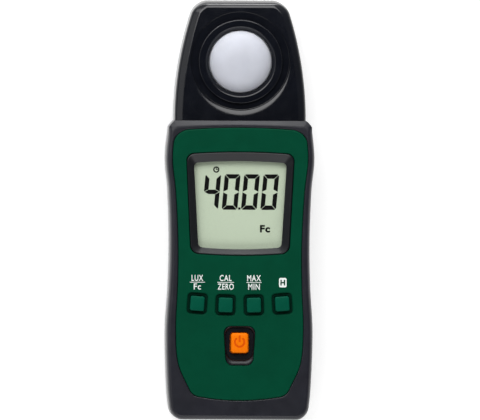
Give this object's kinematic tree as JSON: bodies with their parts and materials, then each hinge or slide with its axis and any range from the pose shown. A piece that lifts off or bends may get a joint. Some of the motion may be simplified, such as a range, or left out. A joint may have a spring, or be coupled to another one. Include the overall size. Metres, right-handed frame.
{
  "type": "light meter",
  "caption": "Pocket light meter with a domed light sensor in a tapered head, a display, a row of square keys and a power key in a rubber-edged case.",
  "frame": {"origin": "under the middle of the meter, on the plane that its back rests on", "axes": "X across the meter, Y from the bottom end to the sensor head, Z out of the display face"},
  "size_m": [0.047, 0.133, 0.023],
  "materials": {
    "black_plastic": "fine moulded texture",
    "green_plastic": "smooth matt",
    "black_rubber": "soft matt",
    "opal_plastic": "satin opal",
    "green_glass": "polished",
    "dark_plastic": "smooth matt",
    "white_plastic": "smooth matt",
    "circuit_board": "lacquered",
    "steel": "plated",
    "clear_window": "polished",
    "display": "satin",
    "green_key": "smooth matt",
    "orange_key": "smooth matt",
    "cell": "plain printed sleeve"
  },
  "bodies": {
    "housing": {"rear_shell": "black_plastic", "head_cover": "black_plastic", "front_shell": "green_plastic", "grip_overmould": "black_rubber", "sensor_collar": "black_plastic", "sensor_dome": "opal_plastic", "sensor_cup": "black_plastic", "colour_filter": "green_glass", "photodiode": "dark_plastic", "sensor_board": "circuit_board", "sensor_board_screw_1": "steel", "sensor_board_screw_2": "steel", "sensor_cable": "dark_plastic", "lcd_bezel": "dark_plastic", "lcd_window": "clear_window", "lcd_panel": "display", "lcd_holder": "white_plastic", "zebra_strip_upper": "black_rubber", "zebra_strip_lower": "black_rubber", "main_board": "circuit_board", "processor_chip": "dark_plastic", "amplifier_chip": "dark_plastic", "crystal": "steel", "board_screw_1": "steel", "board_screw_2": "steel", "board_screw_3": "steel", "board_screw_4": "steel", "case_screw_1": "steel", "case_screw_2": "steel", "case_screw_3": "steel", "case_screw_4": "steel", "power_key_bezel": "dark_plastic", "switch_units": "dark_plastic", "switch_zero": "dark_plastic", "switch_max_min": "dark_plastic", "switch_hold": "dark_plastic", "switch_power": "dark_plastic", "battery_left": "cell", "battery_right": "cell", "positive_contact": "steel", "negative_contact": "steel", "link_contact": "steel", "negative_spring": "steel", "link_spring": "steel"},
    "units_key": {"key_units": "green_key", "plunger_units": "dark_plastic"},
    "zero_key": {"key_zero": "green_key", "plunger_zero": "dark_plastic"},
    "max_min_key": {"key_max_min": "green_key", "plunger_max_min": "dark_plastic"},
    "hold_key": {"key_hold": "green_key", "plunger_hold": "dark_plastic"},
    "power_key": {"key_power": "orange_key", "plunger_power": "dark_plastic"},
    "door": {"battery_door": "black_plastic"}
  },
  "joints": [
    {"name": "units_press", "type": "slide", "parent": "housing", "child": "units_key", "axis": [0, 0, -1], "range_m": [0, 0.0006], "stiffness_N_per_m": 800},
    {"name": "zero_press", "type": "slide", "parent": "housing", "child": "zero_key", "axis": [0, 0, -1], "range_m": [0, 0.0006], "stiffness_N_per_m": 800},
    {"name": "max_min_press", "type": "slide", "parent": "housing", "child": "max_min_key", "axis": [0, 0, -1], "range_m": [0, 0.0006], "stiffness_N_per_m": 800},
    {"name": "hold_press", "type": "slide", "parent": "housing", "child": "hold_key", "axis": [0, 0, -1], "range_m": [0, 0.0006], "stiffness_N_per_m": 800},
    {"name": "power_press", "type": "slide", "parent": "housing", "child": "power_key", "axis": [0, 0, -1], "range_m": [0, 0.0006], "stiffness_N_per_m": 800},
    {"name": "door_slide", "type": "slide", "parent": "housing", "child": "door", "axis": [0, -1, 0], "range_m": [0, 0.055]}
  ]
}
